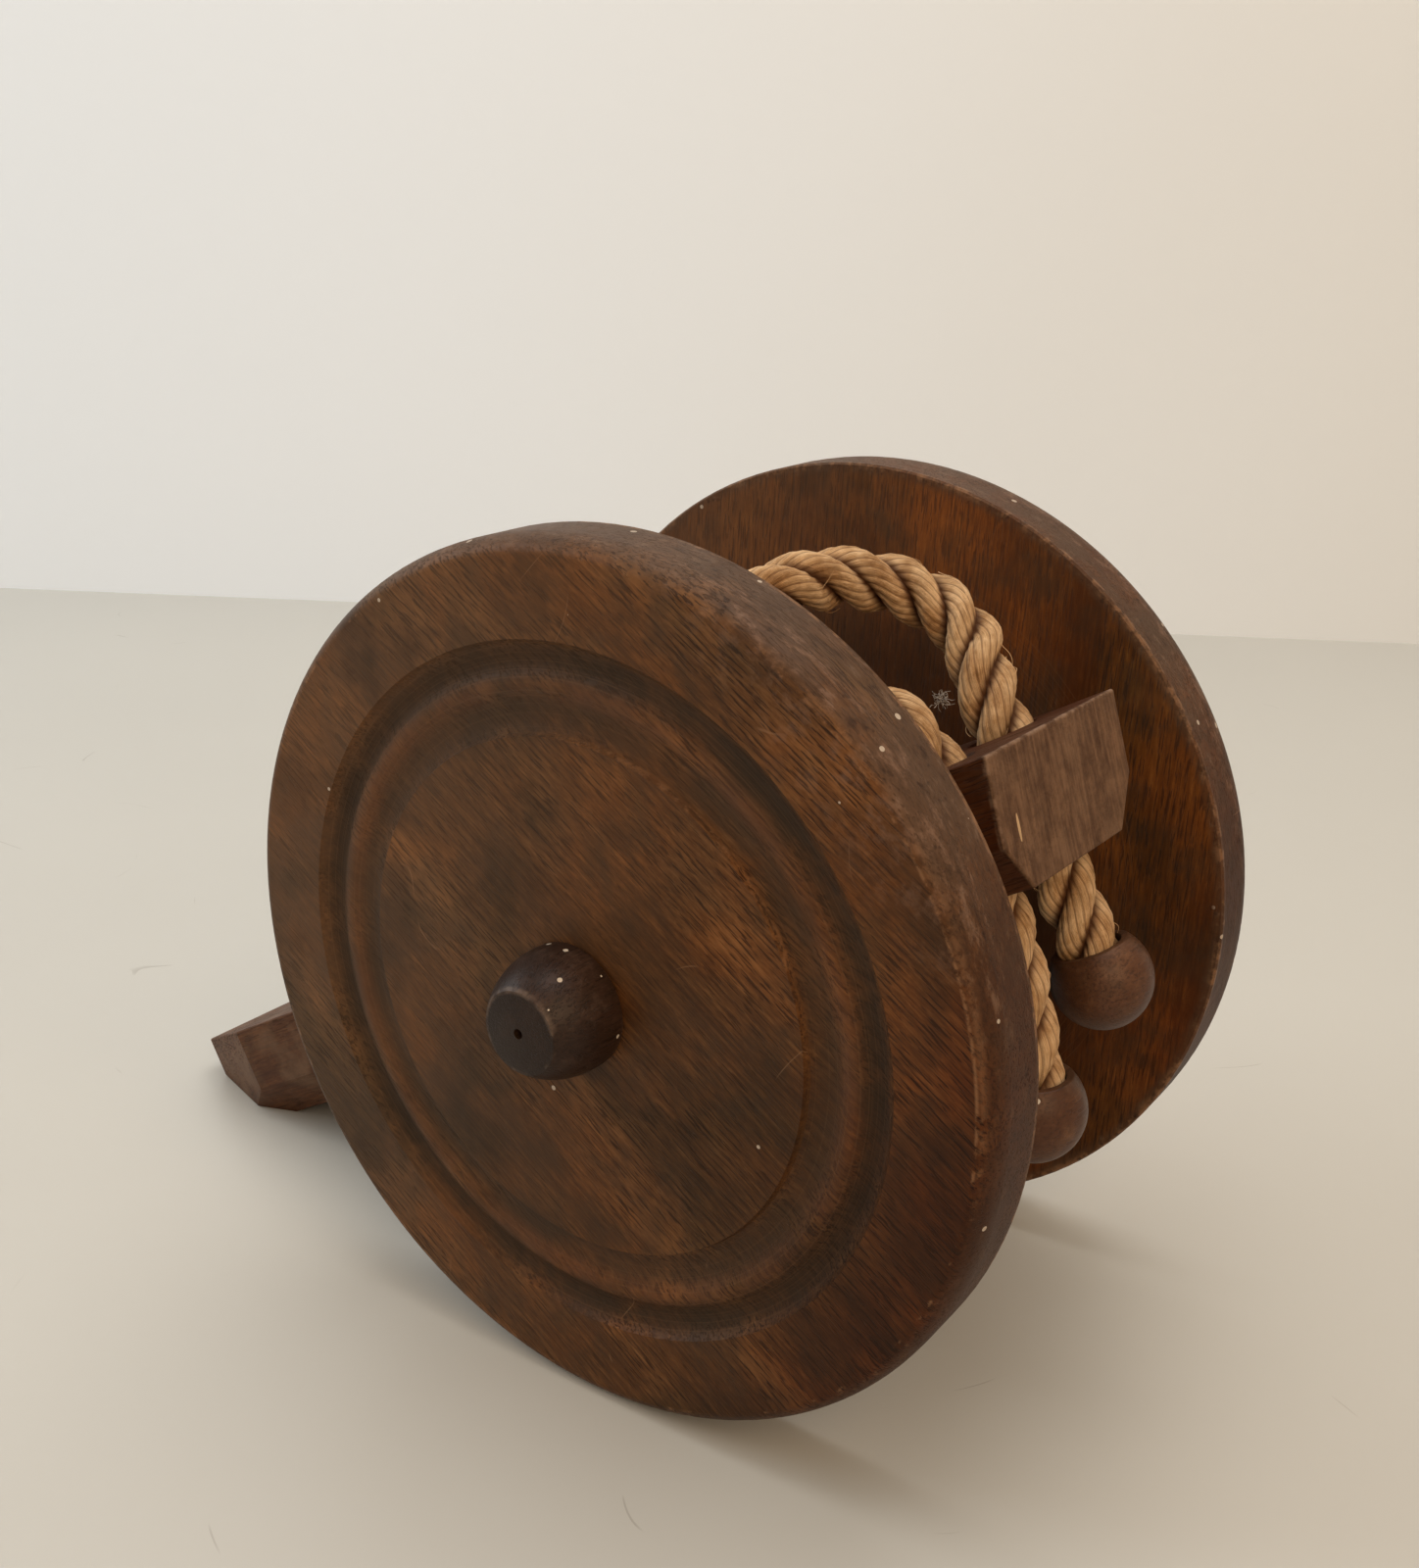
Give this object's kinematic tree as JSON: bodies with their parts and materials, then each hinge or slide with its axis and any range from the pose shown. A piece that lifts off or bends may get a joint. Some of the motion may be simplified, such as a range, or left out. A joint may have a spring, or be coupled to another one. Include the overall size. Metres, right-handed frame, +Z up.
{
  "type": "cannon carriage bottle holder",
  "caption": "Table-top wooden gun carriage that holds a lying bottle: turned wheels on an axle, a sloping trail beam and a rope ring for the neck.",
  "frame": {"origin": "on the table, under the middle of the carriage's length and width, the free rope and its balls left out", "axes": "+X to the front (the beam's high end), +Y to the carriage's left along the axle, +Z up"},
  "size_m": [0.297, 0.1692, 0.2],
  "materials": {
    "wheel_wood": "worn oil finish, red-brown hardwood",
    "trail_wood": "worn oil finish, red-brown hardwood",
    "turned_wood": "worn dark stain, turned hardwood",
    "plain_wood": "unfinished dowel",
    "brad_steel": "dull wire",
    "manila": "three-strand manila rope"
  },
  "bodies": {
    "carriage": {"trail": "trail_wood", "axle": "plain_wood", "left_spacer": "plain_wood", "right_spacer": "plain_wood", "left_hub_cap": "turned_wood", "right_hub_cap": "turned_wood", "left_cap_brad": "brad_steel", "right_cap_brad": "brad_steel", "rope": "manila", "left_rope_ball": "turned_wood", "right_rope_ball": "turned_wood"},
    "left_wheel": {"left_wheel": "wheel_wood"},
    "right_wheel": {"right_wheel": "wheel_wood"}
  },
  "joints": [
    {"name": "left_wheel_spin", "type": "hinge", "parent": "carriage", "child": "left_wheel", "pos_m": [0.04862, 0.0577, 0.1], "axis": [0, 1, 0], "continuous": true},
    {"name": "right_wheel_spin", "type": "hinge", "parent": "carriage", "child": "right_wheel", "pos_m": [0.04862, -0.0577, 0.1], "axis": [0, 1, 0], "continuous": true}
  ]
}
